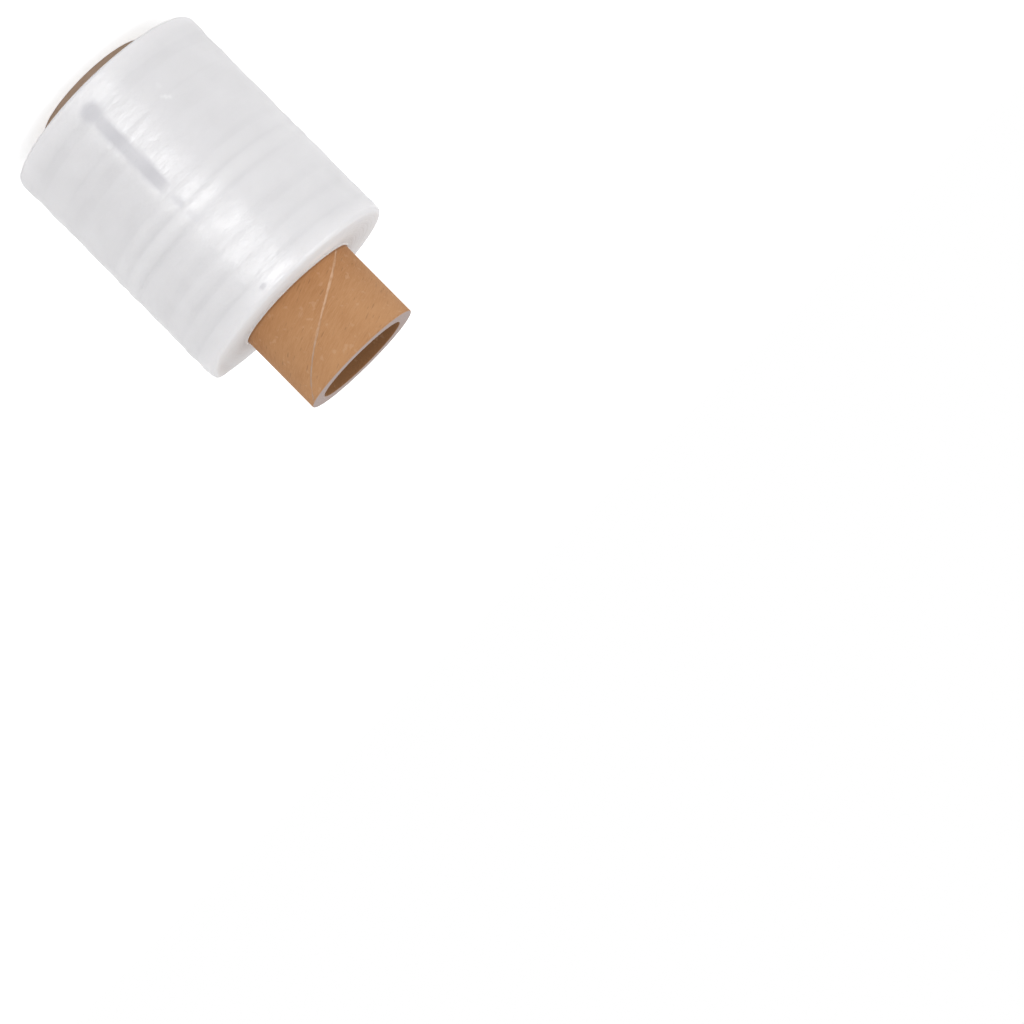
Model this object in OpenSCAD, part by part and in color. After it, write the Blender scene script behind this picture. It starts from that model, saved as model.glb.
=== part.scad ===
// Stretch wrap roll: clear film wound on a spiral paper core that stands out at both ends.
// Millimetres. +Z runs along the axis, from the core's short end, on which the roll stands,
// to its long end. The origin is on the axis at the foot.

/* [Core] */
// Bore of the core
core_bore_d = 38; // [30:0.5:42]
// Thickness of the core's wall
core_wall = 6; // [3:0.25:9]
// Length of core beyond the film at the top
long_end = 34; // [15:0.5:80]
// Length of core beyond the film at the foot
short_end = 6.5; // [3:0.5:20]
// Chamfer that the saw leaves on the core's cut edges
cut_edge = 0.5; // [0.2:0.1:1]

/* [Core seam] */
// Height that the seam of the outer ply climbs in one turn
seam_lead = 95; // [60:1:150]
// Width of the seam, square to its run
seam_w = 0.8; // [0.4:0.1:2]
// Depth of the seam
seam_depth = 0.25; // [0.1:0.05:0.6]
// Angle of the seam where the core leaves the film
seam_angle = 210; // [0:5:360]

/* [Film] */
// Width of the film, which is the length of the winding
film_w = 100; // [60:1:150]
// Thickness of film wound on the core
film_build = 18; // [6:0.2:40]
// Rounding of the winding's shoulders
shoulder_r = 1.8; // [0.6:0.1:2.4]
// Step where the tail of the film ends on the turn below
tail_step = 0.2; // [0.1:0.05:0.6]
// Angle of the tail round the roll
tail_angle = 75; // [0:5:360]

/* [Turns and bands] */
// Distance between the lines of turns on the end faces
turn_pitch = 2; // [1.5:0.25:5]
// Width of a line of turns
turn_w = 0.6; // [0.3:0.1:1]
// Depth of a line of turns
turn_depth = 0.25; // [0.1:0.05:0.5]
// Height of the raised bands round the winding
band_h = 0.3; // [0.1:0.05:0.8]

/* [Hidden] */

// Lower and upper edge of each raised band, from the lower edge of the film
BANDS = [[3, 9], [13, 22.5], [23.5, 27], [32, 46.5], [49.5, 55], [56, 62],
         [63.5, 74], [77, 83], [85, 92], [93, 98]];
BAND_STEPS = 3;
SHOULDER_STEPS = 3;

// Distance that a cut runs past the solid that it is made in
PAST = 1;

core_r = core_bore_d / 2 + core_wall;
core_len = short_end + film_w + long_end;
film_r = core_r + film_build;
film_top = short_end + film_w;

// A seam that lies at an angle is wider when it is measured level round the core
seam_slope = atan(seam_lead / (2 * PI * core_r));
seam_round = seam_w / sin(seam_slope);
seam_turn = 360 * core_len / seam_lead;
seam_foot = seam_angle - 360 * film_top / seam_lead;

core_fn = 72;
film_fn = 40;
seam_slices = ceil(core_fn * seam_turn / 360);

function arc(x, z, r, from, to, steps) =
    [for (i = [0 : steps]) let (a = from + (to - from) * i / steps) [x + r * cos(a), z + r * sin(a)]];

// Rise of one band at a share s of its width: a full crest between two narrow valleys
function band_rise(s) = band_h * sin(180 * s);

// Outline of the outside, up along the bands that fit between the shoulders of the film
function band_points(r) =
    [for (b = BANDS) if (b[1] < film_w - shoulder_r)
        for (i = [0 : BAND_STEPS]) let (s = i / BAND_STEPS)
            [r + band_rise(s), b[0] + (b[1] - b[0]) * s]];

// Half of the winding's section, from the axis out to the radius r
function film_outline(r) = concat(
    [[0, 0]],
    arc(r - shoulder_r, shoulder_r, shoulder_r, -90, 0, SHOULDER_STEPS),
    band_points(r),
    arc(r - shoulder_r, film_w - shoulder_r, shoulder_r, 0, 90, SHOULDER_STEPS),
    [[0, film_w]]);

// Half of the core's wall in section, with chamfered edges
function core_outline() = [
    [core_bore_d / 2, cut_edge],
    [core_bore_d / 2 + cut_edge, 0],
    [core_r - cut_edge, 0],
    [core_r, cut_edge],
    [core_r, core_len - cut_edge],
    [core_r - cut_edge, core_len],
    [core_bore_d / 2 + cut_edge, core_len],
    [core_bore_d / 2, core_len - cut_edge]];

// Groove of the seam, which climbs round the whole core
module seam_cut() {
    rotate([0, 0, seam_foot])
        linear_extrude(height = core_len, twist = -seam_turn, slices = seam_slices)
            translate([core_r - seam_depth, -seam_round / 2])
                square([2 * seam_depth, seam_round]);
}

module core_tube() {
    color("peru")
        difference() {
            rotate_extrude($fn = core_fn)
                polygon(core_outline());
            seam_cut();
        }
}

// A spiral that gains one step in each turn is two half turns in a row. The first is drawn about
// the axis. The second has a radius half a step larger, and its centre lies half a step aside.
module second_half(step) {
    translate([step / 2, 0, 0])
        rotate([0, 0, 180])
            children();
}

module half_winding(r) {
    rotate_extrude(angle = 180, $fn = film_fn)
        polygon(film_outline(r));
}

// Lines of the turns as grooves of a half turn, open upwards from the level z = 0
module half_turn_lines(start) {
    rotate_extrude(angle = 180, $fn = film_fn)
        for (r = [start : turn_pitch : film_r - shoulder_r - turn_w - turn_pitch / 2])
            polygon([[r - turn_w, turn_depth], [r, -turn_depth], [r + turn_w, turn_depth]]);
}

module turn_lines() {
    half_turn_lines(core_r + turn_pitch / 2);
    second_half(turn_pitch)
        half_turn_lines(core_r + turn_pitch);
}

module film_roll() {
    color([0.88, 0.89, 0.91])
        translate([0, 0, short_end])
            rotate([0, 0, tail_angle])
                difference() {
                    union() {
                        half_winding(film_r);
                        second_half(tail_step)
                            half_winding(film_r + tail_step / 2);
                    }
                    translate([0, 0, -PAST])
                        cylinder(r = core_r, h = film_w + 2 * PAST, $fn = core_fn);
                    translate([0, 0, film_w])
                        turn_lines();
                    mirror([0, 0, 1])
                        turn_lines();
                }
}

core_tube();
film_roll();
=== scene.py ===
"""Looks of a stretch wrap roll: clear film wound on a spiral paper core, standing on its short end.

Lengths are in metres and angles go round the axis from +X. The front is -Y and the right is +X.
"""
import math

import bpy
import numpy as np
from mathutils import Matrix, Vector, noise

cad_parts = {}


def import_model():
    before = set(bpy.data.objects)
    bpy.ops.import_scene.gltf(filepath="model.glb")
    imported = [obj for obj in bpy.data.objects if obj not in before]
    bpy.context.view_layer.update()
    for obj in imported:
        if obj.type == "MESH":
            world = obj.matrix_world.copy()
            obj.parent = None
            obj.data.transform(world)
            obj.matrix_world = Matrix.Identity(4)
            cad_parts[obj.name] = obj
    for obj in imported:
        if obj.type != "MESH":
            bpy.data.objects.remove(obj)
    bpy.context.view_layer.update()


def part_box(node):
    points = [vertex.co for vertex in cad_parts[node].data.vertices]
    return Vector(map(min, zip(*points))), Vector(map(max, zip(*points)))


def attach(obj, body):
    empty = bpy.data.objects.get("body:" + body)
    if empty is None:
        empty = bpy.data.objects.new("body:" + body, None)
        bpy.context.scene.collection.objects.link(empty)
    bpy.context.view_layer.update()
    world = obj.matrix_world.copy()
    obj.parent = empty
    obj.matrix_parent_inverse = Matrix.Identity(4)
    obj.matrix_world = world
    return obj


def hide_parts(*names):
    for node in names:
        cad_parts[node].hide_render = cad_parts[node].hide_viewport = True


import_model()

MM = 0.001

# Sizes that the frame gives
core_low, core_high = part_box("core_tube")
film_low, film_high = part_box("film_roll")
CORE_R = (core_high[0] - core_low[0]) / 2
CORE_TOP = core_high[2]
FILM_FOOT = film_low[2]
FILM_TOP = film_high[2]

# Core, as the CAD model has it
BORE_R = 19 * MM
SEAM_LEAD = 95 * MM
SEAM_ANGLE = math.radians(210)
SEAM_W = 0.8 * MM

# Film, as the CAD model has it
FILM_R = 43 * MM
SHOULDER_R = 1.8 * MM
TAIL_STEP = 0.2 * MM
TAIL_ANGLE = math.radians(75)
TURN_PITCH = 2 * MM


def smooth(x, low, high):
    """0 below low, 1 above high, with a soft change between them."""
    t = np.clip((x - low) / (high - low), 0, 1)
    return t * t * (3 - 2 * t)


def fade(x, full, none):
    """1 below full, 0 above none, with a soft change between them."""
    return smooth(-x, -none, -full)


def between(x, rise_from, rise_to, fall_from, fall_to):
    """1 between two soft changes, 0 outside them."""
    return smooth(x, rise_from, rise_to) * fade(x, fall_from, fall_to)


def bell(x, half):
    """1 at 0, and soft on both sides of it."""
    return np.exp(-(x / half) ** 2)


def turned_from(angle, middle):
    """Angle from a middle, between minus pi and pi."""
    return (angle - middle + math.pi) % (2 * math.pi) - math.pi


# Distance in waves between the noise of one seed and that of the next
SEED_STEP = 17.3


def round_noise(angle, height, around, up, seed):
    """Smooth noise from -1 to 1 on a cylinder, with the number of waves a radian and a metre."""
    flat = zip(
        (np.cos(angle) * around).ravel(),
        (np.sin(angle) * around).ravel(),
        (height * up + seed * SEED_STEP).ravel(),
    )
    values = [noise.noise(Vector(p)) for p in flat]
    return np.array(values).reshape(angle.shape)


def waves(angle, height, size, around, up, seed):
    """Noise of a given size, as a row of the tables below describes it."""
    return size * round_noise(angle, height, around, up, seed)


def ring_mesh(name, angle, radius, height, marks):
    """A closed ring-shaped mesh from arrays with one row for each point of the section."""
    rows, cols = radius.shape
    points = np.stack([radius * np.cos(angle), radius * np.sin(angle), height], axis=-1)
    index = np.arange(rows * cols).reshape(rows, cols)
    next_row = np.roll(index, -1, axis=0)
    next_col = np.roll(index, -1, axis=1)
    both = np.roll(next_row, -1, axis=1)
    faces = np.stack([index, next_col, both, next_row], axis=-1).reshape(-1, 4)
    mesh = bpy.data.meshes.new(name)
    mesh.from_pydata(points.reshape(-1, 3).tolist(), [], faces.tolist())
    mesh.polygons.foreach_set("use_smooth", [True] * len(mesh.polygons))
    for mark, values in marks.items():
        kind, key = ("FLOAT_VECTOR", "vector") if values.ndim == 3 else ("FLOAT", "value")
        layer = mesh.attributes.new(mark, kind, "POINT")
        layer.data.foreach_set(key, values.reshape(-1).astype(np.float32))
    mesh.update()
    piece = bpy.data.objects.new(name, mesh)
    bpy.context.collection.objects.link(piece)
    return piece


# Film winding

FILM_COLUMNS = 240
SIDE_STEPS = 256
FACE_STEPS = 58
LIP_STEPS = 9
SHOULDER_STEPS = 10

# Width of the ring beside the core in which the section's points lie close together
LIP_ROOM = 1.2 * MM

# Angle between the last column and the first, across the step of the tail
TAIL_GAP = 0.002

# Raised bands: lower and upper edge in mm from the film's lower edge, height in mm, and how much
# whiter (above 0) or duller (below 0) than the rest they are: partly the film's own tone, partly
# painted highlight on the crests and painted shade in the valleys
BANDS = [
    (3, 9, 0.16, 0.25),
    (13, 22.5, 0.22, 0.08),
    (23.5, 27, 0.10, -0.08),
    (32, 46.5, 0.26, -0.14),
    (49.5, 55, 0.22, 0.12),
    (56, 62, 0.32, 0.30),
    (63.5, 74, 0.24, 0.15),
    (77, 83, 0.18, 0.12),
    (85, 92, 0.22, 0.15),
    (93, 98, 0.18, 0.15),
]

# Unevenness of the bands' heights round the roll, and its waves a radian
BAND_UNEVEN = 0.7
BAND_WAVES = 3.2

# Sharpness of the bands' crests and of their tones, and gains of the dull and of the white tones
CREST_POWER = 0.8
TONE_POWER = 0.5
DULL_GAIN = 3
WHITE_GAIN = 0.77

# Half of the height, in mm, over which a valley between two bands fades
VALLEY_FADE = 0.8

# Side of the winding on which the bands are flatter, and by what share
CALM_ANGLE = math.radians(-138)
CALM_HALF = math.radians(30)
CALM = 0.55

# Side of the winding where the highlight falls, on which the bands' tones, with their painted
# highlight and shade, are strongest, and their strength elsewhere
HIGHLIGHT_SIDE_ANGLE = math.radians(-80)
HIGHLIGHT_SIDE_HALF = math.radians(45)
HIGHLIGHT_SIDE_LEAST = 0.3

# Flattened, duller streak along the axis on the front, with a painted dark reflection as its grey
STREAK_ANGLE = math.radians(-81)
STREAK_HALF = math.radians(3.75)
STREAK_SINK = 0.07 * MM

# Its bar and the neck below the bar, which carry the painted dark reflection, and the pale fringes
# beside it, a painted highlight: the four heights between which each fades in and out, in mm from
# the film's lower edge, and the widths between which it fades aside, in half widths of the streak
BAR_SPAN = (11.5, 14.5, 45, 49.5)
BAR_EDGE = (0.6, 1.3)
NECK_SPAN = (8, 10, 14, 17)
NECK_EDGE = (0.5, 1.0)
FRINGE_SPAN = (3, 9, 46, 56)
FRINGE_EDGE = (1.4, 2.6)

# Strength of the bar's painted dark reflection, of its deeper and darker places and of the neck. A
# deeper place has its middle and half height in mm, and what it adds.
BAR_STRONG = 0.72
BAR_DEEPER = [(21.5, 5, 0.28), (40, 5, 0.28)]
NECK_STRONG = 0.75

# Round spots of the same painted dark reflection in line with the streak, first the blob at its
# foot:
# middle and half height in mm, half width in half widths of the streak, strength, and the shares of
# the spot between which it fades
SPOTS = [
    (9.4, 4.8, 1.65, 0.9, 0.5, 1.3),
    (53.4, 3.2, 0.65, 0.5, 0.6, 1.2),
    (61.0, 3.0, 0.65, 0.42, 0.6, 1.2),
    (96.2, 1.1, 0.65, 0.7, 0.6, 1.2),
]

# Small slanting crease in the outer turn, to the left of the streak, with its half length and half
# width in mm, and a fainter one, with its place from the first and its half sizes in mm
CREASE_ANGLE = math.radians(-112)
CREASE_UP = 23.5
CREASE_RISE = 0.04 * MM
CREASE_HALF = (2.6, 0.8)
CREASE_EDGE = (0.4, 1.2)
FAINT_PLACE = (-0.9, -4.8)
FAINT_HALF = (1.3, 1.6)
FAINT = 0.4

# Unevenness of the winding and of the marks on it: size, waves a radian, waves a metre and seed
SIDE_WAVES = [(0.12 * MM, 2.6, 50, 11), (0.05 * MM, 6, 120, 12), (0.02 * MM, 1.5, 300, 13)]
LEANING_WAVES = (0.03 * MM, 9, 70, 19)
LEANING = 0.35
FACE_WAVES = (0.12 * MM, 1.0, 260, 23)
STREAK_WANDER = [(0.12, 0, 90, 3), (0.10, 9, 260, 5)]
FRINGE_PATCHES = (1, 5, 150, 8)
FRINGE_RANGE = (-0.25, 0.35)

# Lines of the turns on the end faces: depth, and half width as a share of the pitch
LINE_DEPTH = 0.09 * MM
LINE_HALF = 0.13

# Finer lines between them: lines in a pitch, height and phase
FINE_LINES = [(3, 0.014 * MM, 0), (7, 0.009 * MM, 1)]

# Inner turns that stand proud beside the core, over a ring that fades between two widths
LIP_RISE = 0.4 * MM
LIP_FADE = (0.5 * MM, 1.1 * MM)

# Place on the left where the inner turns are looser, stand prouder by a share and have painted light
# that makes their end face whiter
LOOSE_ANGLE = math.radians(-125)
LOOSE_HALF = math.radians(22)
LOOSE_FADE = (4 * MM, 12 * MM)
LOOSE_RISE = 0.4

# Tuck where the inmost turn meets the core
TUCK = 0.6 * MM
TUCK_W = 0.3 * MM

# Outer turns whose edges flare out on the right
FLARE_ANGLE = math.radians(0)
FLARE_HALF = math.radians(20)
FLARE_TOP = 1.5 * MM
FLARE_FOOT = 1.0 * MM
FLARE_W = 6 * MM

# Shallow dip in the outer turns of the upper end face, at the back on the right
DIP_ANGLE = math.radians(60)
DIP_HALF = math.radians(25)
DIP = 0.75 * MM
DIP_FROM_CORE = 3 * MM

# Growth of the winding's radius over its lowest part
SPREAD = 0.4 * MM
SPREAD_UP = 10 * MM

# Strength of the pale mark: painted highlight on the fringes of the streak, a paler crease, and
# painted light on the loose turns
FRINGE_HIGHLIGHT = 0.18
CREASE_PALE = 0.53
LOOSE_PAINTED_LIGHT = 0.95

# Distances from the ends between which the winding's paler edges fade
EDGE_FADE = (1 * MM, 7 * MM)


def film_section():
    """Section of the winding as radius and height in one closed loop."""
    corner = np.linspace(0, math.pi / 2, SHOULDER_STEPS + 1)[1:-1]
    in_r = FILM_R - SHOULDER_R
    near_core = np.linspace(CORE_R, CORE_R + LIP_ROOM, LIP_STEPS)
    radial = np.concatenate([near_core, np.linspace(CORE_R + LIP_ROOM, in_r, FACE_STEPS)[1:]])
    low_centre = FILM_FOOT + SHOULDER_R
    high_centre = FILM_TOP - SHOULDER_R
    radius = np.concatenate([
        radial,
        in_r + SHOULDER_R * np.sin(corner),
        np.full(SIDE_STEPS, FILM_R),
        in_r + SHOULDER_R * np.cos(corner),
        radial[::-1],
    ])
    height = np.concatenate([
        np.full(len(radial), FILM_FOOT),
        low_centre - SHOULDER_R * np.cos(corner),
        np.linspace(low_centre, high_centre, SIDE_STEPS),
        high_centre + SHOULDER_R * np.sin(corner),
        np.full(len(radial), FILM_TOP),
    ])
    return radius, height


def film_columns():
    """Angles round the winding, with two close together where the tail ends."""
    step = 2 * math.pi / (FILM_COLUMNS - 1)
    angles = TAIL_ANGLE + np.arange(FILM_COLUMNS - 1) * step
    return np.concatenate([angles, [TAIL_ANGLE + 2 * math.pi - TAIL_GAP]])


def band_relief(angle, height):
    """Rise of the bands over the plain winding, and how dull and how white each place is, which is
    partly painted shade in the valleys and painted highlight on the crests.
    """
    rise = np.zeros_like(height)
    white = np.zeros_like(height)
    valley = np.ones_like(height)
    up = (height - FILM_FOOT) / MM
    level = np.zeros_like(angle[:1])
    for number, (low, high, tall, tone) in enumerate(BANDS):
        share = np.clip((up - low) / (high - low), 0, 1)
        uneven = 1 + BAND_UNEVEN * round_noise(angle[:1], level, BAND_WAVES, 0, number)
        rise += tall * MM * np.sin(math.pi * share) ** CREST_POWER * uneven
        white += tone * np.sin(math.pi * share) ** TONE_POWER
        start = (low - VALLEY_FADE, low + VALLEY_FADE)
        valley -= between(up, *start, high - VALLEY_FADE, high + VALLEY_FADE)
    calm = 1 - CALM * bell(turned_from(angle, CALM_ANGLE), CALM_HALF)
    # The tones' painted highlight and shade are strongest on the side where the highlight falls
    clear = bell(turned_from(angle, HIGHLIGHT_SIDE_ANGLE), HIGHLIGHT_SIDE_HALF)
    clear = HIGHLIGHT_SIDE_LEAST + (1 - HIGHLIGHT_SIDE_LEAST) * clear
    valley = np.clip(valley, 0, 1) + DULL_GAIN * np.clip(-white, 0, 1)
    return rise * calm, valley * clear, WHITE_GAIN * np.clip(white, 0, 1) * clear


def streak_mark(angle, height):
    """Strengths from 0 to 1 of the flattened streak with its spots, a painted dark reflection, and
    of its pale fringes, a painted highlight.
    """
    up = (height - FILM_FOOT) / MM
    aside = turned_from(angle, STREAK_ANGLE) / STREAK_HALF
    wander = sum(waves(angle, height, *row) for row in STREAK_WANDER)
    across = np.abs(aside) + wander
    tone = BAR_STRONG + sum(more * bell(up - at, half) for at, half, more in BAR_DEEPER)
    bar = tone * fade(across, *BAR_EDGE) * between(up, *BAR_SPAN)
    neck = NECK_STRONG * fade(across, *NECK_EDGE) * between(up, *NECK_SPAN)
    mark = np.maximum(bar, neck)
    for at, tall, wide, strong, full, none in SPOTS:
        away = np.hypot((up - at) / tall, aside / wide)
        mark = np.maximum(mark, strong * fade(away + wander, full, none))
    fringe = fade(across, *FRINGE_EDGE) * between(up, *FRINGE_SPAN)
    patchy = smooth(waves(angle, height, *FRINGE_PATCHES), *FRINGE_RANGE)
    return mark, fringe * patchy * (1 - mark)


def crease_mark(angle, height):
    """1 on a short crease that slants at 45 degrees, and less on a fainter one beside it."""
    up = (height - FILM_FOOT) / MM - CREASE_UP
    across = turned_from(angle, CREASE_ANGLE) * FILM_R / MM
    along = (up - across) / math.sqrt(2)
    aside = (up + across) / math.sqrt(2)
    main = np.hypot(along / CREASE_HALF[0], aside / CREASE_HALF[1])
    beside = (across - FAINT_PLACE[0]) / FAINT_HALF[0]
    other = np.hypot((up - FAINT_PLACE[1]) / FAINT_HALF[1], beside)
    return np.maximum(fade(main, *CREASE_EDGE), FAINT * fade(other, *CREASE_EDGE))


def spiral_height(angle, radius):
    """Relief of the turns' edges on the end faces: a spiral of lines with finer ones between."""
    turn = (angle - TAIL_ANGLE) / (2 * math.pi)
    along = (radius - CORE_R) / TURN_PITCH - turn
    line = np.abs((along + 0.5) % 1 - 0.5)
    relief = -LINE_DEPTH * fade(line, 0, LINE_HALF)
    for lines, tall, phase in FINE_LINES:
        relief += tall * np.cos(2 * math.pi * lines * along + phase)
    return relief


def end_relief(angle, radius, side, top, foot):
    """Rise of the end faces along the axis, and 1 where the inner turns are loose."""
    from_core = radius - CORE_R
    in_r = FILM_R - SHOULDER_R
    lip = fade(from_core, *LIP_FADE)
    loose = bell(turned_from(angle, LOOSE_ANGLE), LOOSE_HALF) * fade(from_core, *LOOSE_FADE)
    loose = loose * (top + foot)
    relief = spiral_height(angle, radius) + waves(angle, radius, *FACE_WAVES)
    relief = relief * smooth(from_core, 0, 2 * TUCK_W) * (1 - side) * (1 - lip)
    tuck = TUCK * fade(from_core, 0, TUCK_W)
    rise = relief + LIP_RISE * (1 + LOOSE_RISE * loose) * lip - tuck
    flare = bell(turned_from(angle, FLARE_ANGLE), FLARE_HALF)
    flare = flare * smooth(radius, FILM_R - FLARE_W, in_r)
    dip = bell(turned_from(angle, DIP_ANGLE), DIP_HALF)
    dip = dip * smooth(radius, CORE_R + DIP_FROM_CORE, in_r)
    rise = rise * (top - foot) + flare * (FLARE_TOP * top - FLARE_FOOT * foot)
    return rise - DIP * dip * top, loose


def film_piece():
    """The winding, with its marks for the material."""
    radius, height = film_section()
    columns = film_columns()
    angle = np.tile(columns, (len(radius), 1))
    radius = np.tile(radius[:, None], (1, len(columns)))
    height = np.tile(height[:, None], (1, len(columns)))
    side = smooth(radius, FILM_R - 2 * SHOULDER_R, FILM_R)
    top = smooth(height, FILM_TOP - SHOULDER_R, FILM_TOP)
    foot = fade(height, FILM_FOOT, FILM_FOOT + SHOULDER_R)
    tail_turn = (angle - TAIL_ANGLE) / (2 * math.pi)

    streak, fringe = streak_mark(angle, height)
    streak = streak * side
    crease = crease_mark(angle, height) * side
    rise, valley, white = band_relief(angle, height)
    rise += TAIL_STEP * np.clip(tail_turn, 0, 1)
    rise += SPREAD * fade(height - FILM_FOOT, SHOULDER_R, SPREAD_UP)
    for row in SIDE_WAVES:
        rise += waves(angle, height, *row)
    leaning = angle + LEANING * (height - FILM_FOOT) / FILM_R
    rise += waves(leaning, height, *LEANING_WAVES)
    rise += CREASE_RISE * crease - STREAK_SINK * streak

    up, loose = end_relief(angle, radius, side, top, foot)
    height = height + up
    radius = radius + rise * side
    from_end = np.minimum(height - FILM_FOOT, FILM_TOP - height)
    # Pale mark: crests partly painted highlight, the streak's fringes a painted highlight, and the
    # crease
    pale = np.maximum((FRINGE_HIGHLIGHT * fringe + white) * side, CREASE_PALE * crease)
    marks = {
        "streak": streak,
        # Painted light on the end face where the inner turns are loose
        "pale": np.maximum(pale, LOOSE_PAINTED_LIGHT * loose),
        "valley": valley * side * (1 - top) * (1 - foot),
        "face": 1 - np.clip((radius - CORE_R) / (FILM_R - CORE_R), 0, 1),
        "edge": fade(from_end, *EDGE_FADE),
    }
    return ring_mesh("film_winding", angle, radius, height, marks)


# Paper core

CORE_COLUMNS = 260
SEAM_COLUMNS = 17
LOW_ROWS = 9
LINE_ROWS = 8
HIGH_ROWS = 46
HIDDEN_ROWS = 40
WALL_STEPS = 26
EDGE_STEPS = 4

# Rounding of the cut edges in place of the CAD model's chamfers, thickness of a ply, and depth over
# which the outside and the bore change to the cuts
EDGE_R = 0.45 * MM
PLY = 0.5 * MM
SKIN = 0.3 * MM

# Height above the film over which the rows lie close together
LINE_ROOM = 1.6 * MM

# Groove of the seam, a little shallower than in the CAD model because it is worn, and its raised
# lips, with widths in half widths of the seam
SEAM_DEPTH = 0.2 * MM
SEAM_REACH = 1.6
SEAM_EDGE = (0.75, 1.3)
LIPS_RISE = 0.05 * MM
LIPS_AT = 1.15
LIPS_HALF = 0.4

# Ragged edges of the seam, grain of the outside and fuzz of the cuts: size, waves a radian, waves a
# metre and seed
RAGGED = [(0.35, 8, 700, 31), (0.4, 4, 260, 33)]
GRAIN = (0.02 * MM, 30, 1100, 37)
FUZZ = (1, 24, 900, 41)

# Height of the fuzz on the cuts, and beside them over a strip of the wall's faces
FUZZ_CUT = 0.05 * MM
FUZZ_EDGE = 0.06 * MM
EDGE_W = 1 * MM

# Lines between the plies on the cuts: depth, and half width as a share of a ply
PLY_SINK = 0.07 * MM
PLY_LINE_HALF = 0.2

# Slope of the plies' fibres
FIBRE_SLOPE = 0.5

# Dark line on the core just above the film: its height, and the distances over which it fades
LINE_UP = 0.75 * MM
LINE_FADE = (0.2 * MM, 0.45 * MM)

# Height over which the short end's tone fades behind the film
LOW_FADE = 1 * MM

# Pale fleck on the front of the core: place, half width, half height, edge and raggedness
FLECK_ANGLE = math.radians(-80)
FLECK_UP = 10 * MM
FLECK_HALF = (0.7 * MM, 0.9 * MM)
FLECK_EDGE = (0.6, 1.3)
FLECK_RAGGED = 0.4


def seam_columns():
    """Angles round the core from the seam, close together across it, and half the seam's angle."""
    slope = math.atan(SEAM_LEAD / (2 * math.pi * CORE_R))
    half = SEAM_W / math.sin(slope) / CORE_R / 2
    reach = SEAM_REACH * half
    near = np.linspace(-reach, reach, SEAM_COLUMNS)
    far = np.linspace(reach, 2 * math.pi - reach, CORE_COLUMNS - SEAM_COLUMNS + 2)[1:-1]
    return np.concatenate([near, far]), half


def core_section():
    """Section of the core's wall as radius and height in one closed loop, with rounded edges."""
    arc = np.linspace(0, math.pi / 2, EDGE_STEPS + 1)
    low = np.linspace(EDGE_R, FILM_FOOT, LOW_ROWS, endpoint=False)
    hidden = np.linspace(FILM_FOOT, FILM_TOP, HIDDEN_ROWS, endpoint=False)
    above = np.linspace(FILM_TOP, FILM_TOP + LINE_ROOM, LINE_ROWS, endpoint=False)
    high = np.linspace(FILM_TOP + LINE_ROOM, CORE_TOP - EDGE_R, HIGH_ROWS)
    rows = np.concatenate([low, hidden, above, high])
    out_r, in_r = CORE_R - EDGE_R, BORE_R + EDGE_R
    across = np.linspace(out_r, in_r, WALL_STEPS)[1:-1]
    top, foot = CORE_TOP - EDGE_R, EDGE_R
    radius = np.concatenate([
        np.full(len(rows) - 1, CORE_R),
        out_r + EDGE_R * np.cos(arc),
        across,
        in_r - EDGE_R * np.sin(arc),
        np.full(len(rows) - 2, BORE_R),
        in_r - EDGE_R * np.cos(arc),
        across[::-1],
        out_r + EDGE_R * np.sin(arc),
    ])
    height = np.concatenate([
        rows[1:],
        top + EDGE_R * np.sin(arc),
        np.full(len(across), CORE_TOP),
        top + EDGE_R * np.cos(arc),
        rows[::-1][1:-1],
        foot - EDGE_R * np.sin(arc),
        np.zeros(len(across)),
        foot - EDGE_R * np.cos(arc),
    ])
    return radius, height


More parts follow.
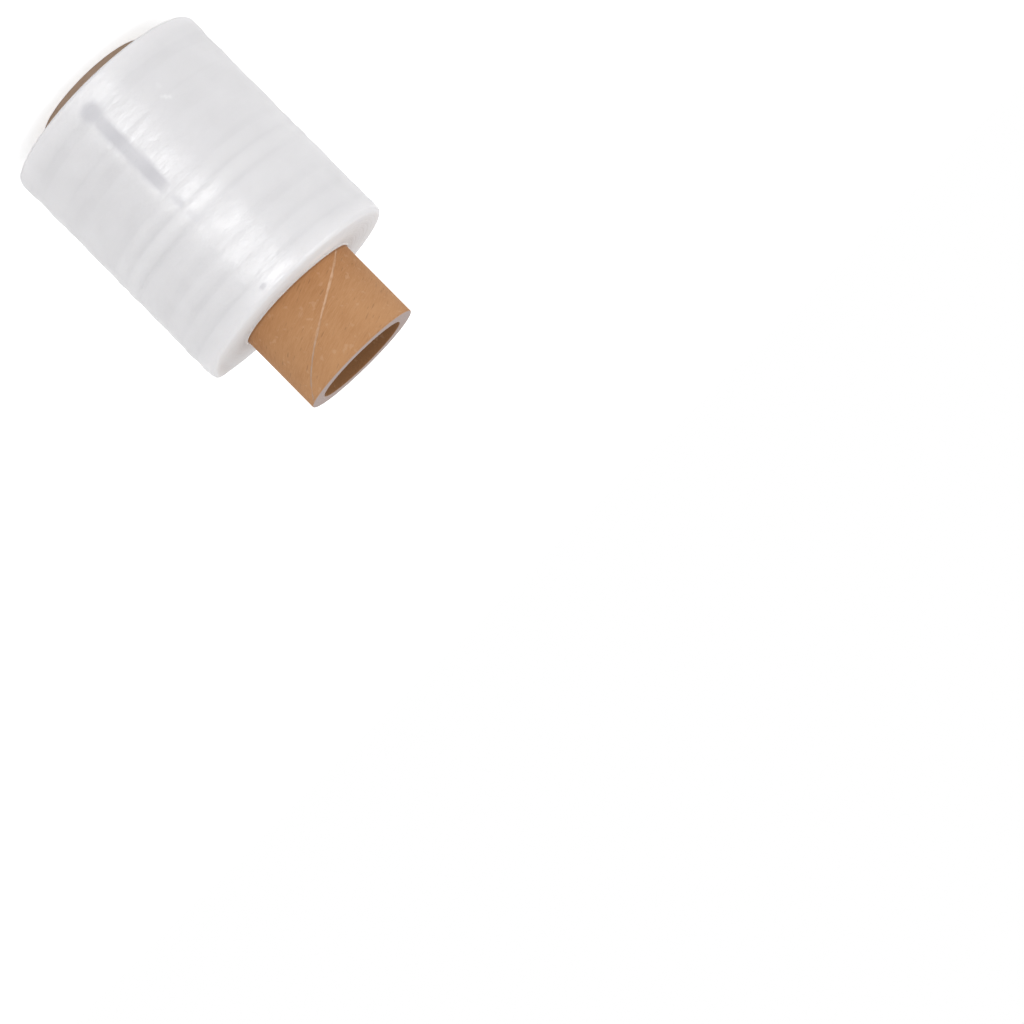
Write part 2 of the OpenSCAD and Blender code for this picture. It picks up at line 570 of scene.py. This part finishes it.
def core_piece():
    """The core, with its marks for the material."""
    radius, height = core_section()
    columns, half = seam_columns()
    from_seam = np.tile(columns, (len(radius), 1))
    radius = np.tile(radius[:, None], (1, len(columns)))
    height = np.tile(height[:, None], (1, len(columns)))
    angle = SEAM_ANGLE + 2 * math.pi * (height - FILM_TOP) / SEAM_LEAD + from_seam
    outside = smooth(radius, CORE_R - SKIN, CORE_R)
    inside = fade(radius, BORE_R, BORE_R + SKIN)
    cut = (1 - outside) * (1 - inside)

    aside = np.abs(turned_from(from_seam, 0)) / half
    ragged = sum(waves(angle, height, *row) for row in RAGGED)
    seam = fade(aside - ragged, *SEAM_EDGE) * outside
    lips = fade(np.abs(aside - LIPS_AT), 0, LIPS_HALF) * outside
    fuzz = waves(angle, radius, *FUZZ)
    edge = smooth(height, CORE_TOP - EDGE_W, CORE_TOP) + fade(height, 0, EDGE_W)
    rise = LIPS_RISE * lips - SEAM_DEPTH * seam
    rise += waves(angle, height, *GRAIN) * (outside - inside)
    rise += FUZZ_EDGE * fuzz * edge * (outside - inside)

    ply_line = np.abs(((radius - BORE_R) / PLY + 0.5) % 1 - 0.5)
    face = FUZZ_CUT * (fuzz - 1) - PLY_SINK * fade(ply_line, 0, PLY_LINE_HALF)
    upward = np.where(height > CORE_TOP / 2, 1.0, -1.0)
    radius = radius + rise
    height = height + np.minimum(face, 0) * cut * upward

    span = from_seam * CORE_R
    along = [span + height * FIBRE_SLOPE, height - span * FIBRE_SLOPE, radius]
    above = height - FILM_TOP
    fleck_across = turned_from(angle, FLECK_ANGLE) * CORE_R
    fleck = np.hypot(fleck_across / FLECK_HALF[0], (above - FLECK_UP) / FLECK_HALF[1])
    marks = {
        "cut": cut,
        "seam": seam,
        "inside": inside,
        "ply": np.stack(along, axis=-1),
        "neck": np.clip(above / (CORE_TOP - FILM_TOP), 0, 1),
        "line": fade(np.abs(above - LINE_UP), *LINE_FADE) * outside,
        "fleck": fade(fleck - FLECK_RAGGED * ragged, *FLECK_EDGE) * outside,
        "low": fade(height, FILM_FOOT, FILM_FOOT + LOW_FADE) * outside,
    }
    return ring_mesh("core_board", angle, radius, height, marks)


# Materials

# Base colours of the film, in linear values: the winding, its valleys, darker partly as painted
# shade, its ends, its whitest places, partly painted highlight, and the painted dark reflection on
# its flattened streak, then the end faces from their rim to the core, and the inmost turns
FILM_PLAIN = (0.64, 0.63, 0.65)
FILM_VALLEY_DULL_AND_SHADE = (0.55, 0.54, 0.56)
FILM_EDGE = (0.73, 0.72, 0.74)
FILM_PALE = (0.87, 0.865, 0.87)
FILM_DARK_REFLECTION = (0.475, 0.467, 0.505)
FACE_OUT = (0.74, 0.745, 0.765)
FACE_IN = (0.67, 0.675, 0.695)
FACE_LIP = (1.0, 0.97, 0.93)

# Darker shades of the winding in its clouds and rings, as shares of its plain colour
CLOUD_SHADE = 0.965
RING_SHADE = 0.95

# Base colours of the board: its outside, its warmer painted shade and its duller tone beside the
# film, its bore, darker with painted shade, its flecks, its seam and its saw cuts
KRAFT = (0.525, 0.268, 0.12)
KRAFT_DARK = (0.455, 0.218, 0.090)
KRAFT_LIGHT = (0.60, 0.33, 0.165)
KRAFT_FILM_SHADE = (0.84, 0.75, 0.64)
KRAFT_DULL = (0.62, 0.455, 0.34)
KRAFT_BORE_SHADE = (0.33, 0.16, 0.065)
KRAFT_FLECK = (0.30, 0.15, 0.07)
SEAM_PALE = (0.70, 0.46, 0.30)
SEAM_GREY = (0.50, 0.36, 0.27)
CUT_DARK = (0.30, 0.23, 0.21)
CUT_GREY = (0.41, 0.335, 0.32)
CUT_PALE = (0.51, 0.41, 0.375)

# Noise textures: scale, detail, roughness, and stretch along X, Y and Z
FILM_CLOUD = (60, 3)
FILM_PATCHES = (1, 3, 0.55, (110, 110, 160))
FILM_RINGS = (1, 3, 0.6, (25, 25, 500))
FILM_WRINKLES = (1, 2, 0.6, (190, 190, 560))
BOARD_CLOUD = (70, 3)
BOARD_FIBRE = (1, 4, 0.6, (500, 1500, 900))
BOARD_FLECKS = (1, 1, 0.5, (330, 520, 400))
BOARD_PALE = (420, 1)
BOARD_WEAR = (350, 2)
BOARD_PULP = (1800, 3)

# Parts of a noise's range over which a layer fades in: most of it, its middle, the middle and a
# little more above it, and only its peaks
MOST = (0.3, 0.7)
MIDDLE = (0.35, 0.65)
UPPER = (0.35, 0.7)
PEAKS = (0.66, 0.74)

# Ranges of the face mark, which is 0 at the winding's rim and 1 at the core
FACE_START = (0.02, 0.1)
FACE_SPAN = (0.1, 0.8)
FACE_END = (0.93, 0.96)
FACE_DULL = (0.0, 0.12)

# Strengths of the film's layers
RINGS_MOST = 0.5
VALLEY_LEAST = 0.1
VALLEY_MOST = 0.6
EDGE_STRONG = 0.8

# Roughness of the smoothest film, and at most in its patches, on the streak and on the end faces
FILM_ROUGH = 0.34
PATCH_ROUGH = 0.46
STREAK_ROUGH = 0.6
FACE_ROUGH = 0.85

# Heights of the bumps
WRINKLES_HIGH = 0.2 * MM
RINGS_HIGH = 0.05 * MM
FIBRE_HIGH = 0.05 * MM
PULP_HIGH = 0.04 * MM

# Film: a strong soft gloss that is drawn out round the axis, over light that scatters under the
# surface, a little further for red
FILM_SHADER = {
    "IOR": 2.2,
    "Specular IOR Level": 1.0,
    "Anisotropic": 0.35,
    "Anisotropic Rotation": 0.25,
    "Subsurface Weight": 0.8,
    "Subsurface Scale": 6 * MM,
    "Subsurface Radius": (1.0, 0.95, 0.9),
}

# Strengths of the board's layers
FIBRE_MOST = 0.55
FLECKS_MOST = 0.55
PALE_MOST = 0.22
FLECK_STRONG = 0.35
LOW_STRONG = 0.9
LINE_STRONG = 0.6

# Shares of the long end's length, from the film, between which the board's warmer painted shade
# fades and its seam goes from pale to grey, and the painted shade's strength
FILM_SHADE_FADE = (0.001, 0.45)
FILM_SHADE_MOST = 0.6
SEAM_TURN = (0.45, 0.7)

# Seam where it is worn: range of the noise, and least and most of its tone
WEAR = (0.3, 0.6, 0.3, 0.9)

# Dark lines between the plies on the cuts: half width and strength
PLY_DARK_HALF = PLY / 5
PLY_DARK = 0.45

BOARD_ROUGH = 0.85
BOARD_SHADER = {"IOR": 1.4}

# Sockets of the mix node for colours, whose names aren't unique
MIX_COLOURS = (6, 7)
MIX_RESULT = 2


class Nodes:
    """A material's node tree, with short calls for the nodes that the materials here use."""

    def __init__(self, name):
        self.material = bpy.data.materials.new(name)
        self.material.use_nodes = True
        self.tree = self.material.node_tree
        self.tree.nodes.clear()
        self.output = self.add("ShaderNodeOutputMaterial")

    def add(self, kind, **settings):
        """A new node."""
        node = self.tree.nodes.new(kind)
        for key, value in settings.items():
            setattr(node, key, value)
        return node

    def put(self, value, socket):
        """Gives a socket a number or a colour, or links another node's output to it."""
        if isinstance(value, (int, float)):
            socket.default_value = value
        elif isinstance(value, tuple):
            socket.default_value = (*value, 1)
        else:
            self.tree.links.new(value, socket)

    def place(self):
        """Place on the piece, in its own axes."""
        return self.add("ShaderNodeTexCoord").outputs["Object"]

    def mark(self, name, output="Fac"):
        """A mark that the mesh holds for each point."""
        return self.add("ShaderNodeAttribute", attribute_name=name).outputs[output]

    def noise(self, where, scale, detail, rough=0.5, stretch=(1, 1, 1)):
        """Noise between 0 and 1."""
        mapping = self.add("ShaderNodeMapping")
        mapping.inputs["Scale"].default_value = stretch
        self.put(where, mapping.inputs["Vector"])
        texture = self.add("ShaderNodeTexNoise")
        texture.inputs["Scale"].default_value = scale
        texture.inputs["Detail"].default_value = detail
        texture.inputs["Roughness"].default_value = rough
        self.put(mapping.outputs["Vector"], texture.inputs["Vector"])
        return texture.outputs["Fac"]

    def part(self, vector, axis):
        """One of a vector's three values."""
        node = self.add("ShaderNodeSeparateXYZ")
        self.put(vector, node.inputs["Vector"])
        return node.outputs[axis]

    def ramp(self, value, low, high, start=0.0, end=1.0):
        """Start below low, end above high, and straight between them."""
        node = self.add("ShaderNodeMapRange", clamp=True)
        node.inputs["From Min"].default_value = low
        node.inputs["From Max"].default_value = high
        node.inputs["To Min"].default_value = start
        node.inputs["To Max"].default_value = end
        self.put(value, node.inputs["Value"])
        return node.outputs["Result"]

    def math(self, kind, a, b):
        """A value worked out from two others, such as their product or the larger one."""
        node = self.add("ShaderNodeMath", operation=kind)
        self.put(a, node.inputs[0])
        self.put(b, node.inputs[1])
        return node.outputs["Value"]

    def mix(self, share, a, b, **settings):
        """Colour a where the share is 0 and b where it is 1."""
        node = self.add("ShaderNodeMix", data_type="RGBA", **settings)
        self.put(share, node.inputs["Factor"])
        self.put(a, node.inputs[MIX_COLOURS[0]])
        self.put(b, node.inputs[MIX_COLOURS[1]])
        return node.outputs[MIX_RESULT]

    def bump(self, height, distance, normal=None):
        """Normals as bent by a relief."""
        node = self.add("ShaderNodeBump")
        node.inputs["Strength"].default_value = 1
        node.inputs["Distance"].default_value = distance
        self.put(height, node.inputs["Height"])
        if normal is not None:
            self.put(normal, node.inputs["Normal"])
        return node.outputs["Normal"]

    def surface(self, colour, roughness, normal, constants):
        """The material's shader, with its constants set on its sockets."""
        shader = self.add("ShaderNodeBsdfPrincipled")
        self.put(colour, shader.inputs["Base Color"])
        self.put(roughness, shader.inputs["Roughness"])
        self.put(normal, shader.inputs["Normal"])
        for key, value in constants.items():
            shader.inputs[key].default_value = value
        self.put(shader.outputs["BSDF"], self.output.inputs["Surface"])
        return shader


def shaded(colour, share):
    """A colour with all its values times a share."""
    return tuple(value * share for value in colour)


def film_material():
    """Milky film with a soft gloss, duller on the end faces and on the streak."""
    n = Nodes("stretch_film")
    where = n.place()
    streak = n.mark("streak")
    face = n.mark("face")
    cloud = n.noise(where, *FILM_CLOUD)
    patches = n.noise(where, *FILM_PATCHES)
    rings = n.noise(where, *FILM_RINGS)
    wrinkles = n.noise(where, *FILM_WRINKLES)

    tint = n.mix(n.ramp(cloud, *MIDDLE), FILM_PLAIN, shaded(FILM_PLAIN, CLOUD_SHADE))
    tint = n.mix(n.ramp(rings, *UPPER, 0, RINGS_MOST), tint, shaded(FILM_PLAIN, RING_SHADE))
    cloudy = n.ramp(cloud, *MIDDLE, VALLEY_LEAST, VALLEY_MOST)
    # Valleys between the bands darker: partly duller film, partly painted shade
    tint = n.mix(n.math("MULTIPLY", n.mark("valley"), cloudy), tint, FILM_VALLEY_DULL_AND_SHADE)
    tint = n.mix(n.math("MULTIPLY", n.mark("edge"), EDGE_STRONG), tint, FILM_EDGE)
    ends = n.mix(n.ramp(face, *FACE_SPAN), FACE_OUT, FACE_IN)
    ends = n.mix(n.ramp(face, *FACE_START), tint, ends)
    ends = n.mix(n.mark("pale"), ends, FILM_PALE)
    ends = n.mix(n.ramp(face, *FACE_END), ends, FACE_LIP)
    # Painted dark reflection in the gloss along the streak
    colour = n.mix(streak, ends, FILM_DARK_REFLECTION)

    normal = n.bump(wrinkles, WRINKLES_HIGH, n.bump(rings, RINGS_HIGH))
    rough = n.ramp(patches, *MIDDLE, FILM_ROUGH, PATCH_ROUGH)
    rough = n.math("MAXIMUM", rough, n.ramp(streak, 0, 1, FILM_ROUGH, STREAK_ROUGH))
    rough = n.math("MAXIMUM", rough, n.ramp(face, *FACE_DULL, FILM_ROUGH, FACE_ROUGH))
    shader = n.surface(colour, rough, normal, FILM_SHADER)
    round_axis = n.add("ShaderNodeTangent", direction_type="RADIAL", axis="Z")
    n.put(round_axis.outputs["Tangent"], shader.inputs["Tangent"])
    return n.material


def board_material():
    """Brown board with slanting fibres outside and grey, pulpy plies on its cuts."""
    n = Nodes("core_board")
    where = n.place()
    ply = n.mark("ply", "Vector")
    neck = n.mark("neck")
    fibre = n.noise(ply, *BOARD_FIBRE)
    pulp = n.noise(where, *BOARD_PULP)

    colour = n.mix(n.ramp(n.noise(where, *BOARD_CLOUD), *MOST), KRAFT_DARK, KRAFT)
    colour = n.mix(n.ramp(fibre, *UPPER, 0, FIBRE_MOST), colour, KRAFT_LIGHT)
    # Bore darker with painted shade
    colour = n.mix(n.mark("inside"), colour, KRAFT_BORE_SHADE)
    flecks = n.ramp(n.noise(ply, *BOARD_FLECKS), *PEAKS, 0, FLECKS_MOST)
    colour = n.mix(flecks, colour, KRAFT_FLECK)
    pale = n.ramp(n.noise(where, *BOARD_PALE), *PEAKS, 0, PALE_MOST)
    colour = n.mix(pale, colour, SEAM_PALE)
    colour = n.mix(n.math("MULTIPLY", n.mark("fleck"), FLECK_STRONG), colour, SEAM_PALE)
    # Painted shade, darker and warmer, beside the film and in the bore below its top
    film_shade = n.mix(n.ramp(neck, *FILM_SHADE_FADE, FILM_SHADE_MOST, 0), (1, 1, 1), KRAFT_FILM_SHADE)
    colour = n.mix(1, colour, film_shade, blend_type="MULTIPLY")
    colour = n.mix(n.math("MULTIPLY", n.mark("low"), LOW_STRONG), colour, KRAFT_DULL)
    worn = n.ramp(n.noise(where, *BOARD_WEAR), *WEAR)
    seam_tone = n.mix(n.ramp(neck, *SEAM_TURN), SEAM_PALE, SEAM_GREY)
    colour = n.mix(n.math("MULTIPLY", n.mark("seam"), worn), colour, seam_tone)
    colour = n.mix(n.math("MULTIPLY", n.mark("line"), LINE_STRONG), colour, KRAFT_FLECK)

    end = n.mix(n.ramp(pulp, *MOST), CUT_GREY, CUT_PALE)
    to_ply = n.math("PINGPONG", n.part(ply, "Z"), PLY / 2)
    end = n.mix(n.ramp(to_ply, 0, PLY_DARK_HALF, PLY_DARK, 0), end, CUT_DARK)
    colour = n.mix(n.mark("cut"), colour, end)
    normal = n.bump(fibre, FIBRE_HIGH, n.bump(pulp, PULP_HIGH))
    n.surface(colour, BOARD_ROUGH, normal, BOARD_SHADER)
    return n.material


# Floor, light and camera

FLOOR_SIZE = 12.0
FLOOR_PAINT = (0.8, 0.8, 0.8)

# Light that the floor adds of its own for the rays by which it is seen, so that it looks white, and
# the world's light for all the others
FLOOR_GLOW = 0.66
WORLD_LIGHT = 0.84

# Soft lights: name, place, target, width, height and radiance
BOXES = [
    ("front_box", (0.045, -0.7, 0.045), (0, 0, 0.045), 0.5, 0.08, 5.0),
    ("side_box", (-0.81, -0.55, 1.03), (0, 0, 0.06), 0.9, 0.9, 0.82),
]

# The camera looks a little down, over the roll, and is turned on its own axis, so that the roll lies
# aslant in a corner of the picture
EYE = (0.0004, -1.1583, 0.2839)
TILT_DOWN = math.radians(3.24)
TURN = math.radians(135.26)
FOCAL_PIXELS = 3200
FRAME_PIXELS = 1024
SENSOR_MM = 36
CLIP_NEAR = 0.01
CLIP_FAR = 50


def seen_rays(tree):
    """1 for the rays by which a background is seen: straight, in a gloss or through a piece."""
    path = tree.nodes.new("ShaderNodeLightPath")
    seen = path.outputs["Is Camera Ray"]
    for ray in ("Is Glossy Ray", "Is Transmission Ray"):
        either = tree.nodes.new("ShaderNodeMath")
        either.operation = "MAXIMUM"
        tree.links.new(seen, either.inputs[0])
        tree.links.new(path.outputs[ray], either.inputs[1])
        seen = either.outputs["Value"]
    return seen


def floor_material():
    """White paint that takes shadows, with a glow that only those rays meet by which it is seen."""
    n = Nodes("floor_white")
    glow = n.add("ShaderNodeEmission")
    n.put(n.math("MULTIPLY", seen_rays(n.tree), FLOOR_GLOW), glow.inputs["Strength"])
    paint = n.add("ShaderNodeBsdfDiffuse")
    n.put(FLOOR_PAINT, paint.inputs["Color"])
    both = n.add("ShaderNodeAddShader")
    n.put(glow.outputs["Emission"], both.inputs[0])
    n.put(paint.outputs["BSDF"], both.inputs[1])
    n.put(both.outputs["Shader"], n.output.inputs["Surface"])
    return n.material


def floor_piece():
    """A wide square floor under the roll."""
    half = FLOOR_SIZE / 2
    corners = [(-half, -half, 0), (half, -half, 0), (half, half, 0), (-half, half, 0)]
    mesh = bpy.data.meshes.new("floor")
    mesh.from_pydata(corners, [], [(0, 1, 2, 3)])
    mesh.materials.append(floor_material())
    piece = bpy.data.objects.new("floor", mesh)
    bpy.context.collection.objects.link(piece)


def world():
    """White where it is seen, and a little darker as a light."""
    made = bpy.data.worlds.new("studio")
    made.use_nodes = True
    tree = made.node_tree
    background = tree.nodes["Background"]
    background.inputs["Color"].default_value = (1, 1, 1, 1)
    strength = tree.nodes.new("ShaderNodeMapRange")
    strength.inputs["To Min"].default_value = WORLD_LIGHT
    strength.inputs["To Max"].default_value = 1
    tree.links.new(seen_rays(tree), strength.inputs["Value"])
    tree.links.new(strength.outputs["Result"], background.inputs["Strength"])
    bpy.context.scene.world = made


def softbox(name, place, target, width, height, radiance):
    """A soft area light that faces its target. Radiance 1 looks as bright as a white background."""
    light = bpy.data.lights.new(name, "AREA")
    light.shape = "RECTANGLE"
    light.size = width
    light.size_y = height
    light.energy = radiance * math.pi * width * height
    lamp = bpy.data.objects.new(name, light)
    lamp.location = place
    lamp.rotation_euler = (Vector(target) - Vector(place)).to_track_quat("-Z", "Y").to_euler()
    lamp.visible_camera = False
    bpy.context.collection.objects.link(lamp)


def camera():
    """The camera from which the roll is rendered."""
    data = bpy.data.cameras.new("camera")
    data.sensor_width = SENSOR_MM
    data.lens = FOCAL_PIXELS * SENSOR_MM / FRAME_PIXELS
    data.clip_start = CLIP_NEAR
    data.clip_end = CLIP_FAR
    made = bpy.data.objects.new("camera", data)
    facing = Matrix.Rotation(math.pi / 2 - TILT_DOWN, 4, "X") @ Matrix.Rotation(TURN, 4, "Z")
    made.matrix_world = Matrix.Translation(EYE) @ facing
    bpy.context.collection.objects.link(made)
    bpy.context.scene.camera = made


film = film_piece()
film.data.materials.append(film_material())
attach(film, "root")
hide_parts("film_roll")

core = core_piece()
core.data.materials.append(board_material())
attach(core, "root")
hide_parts("core_tube")

floor_piece()
world()
for box in BOXES:
    softbox(*box)
camera()
bpy.context.scene.view_settings.view_transform = "Standard"
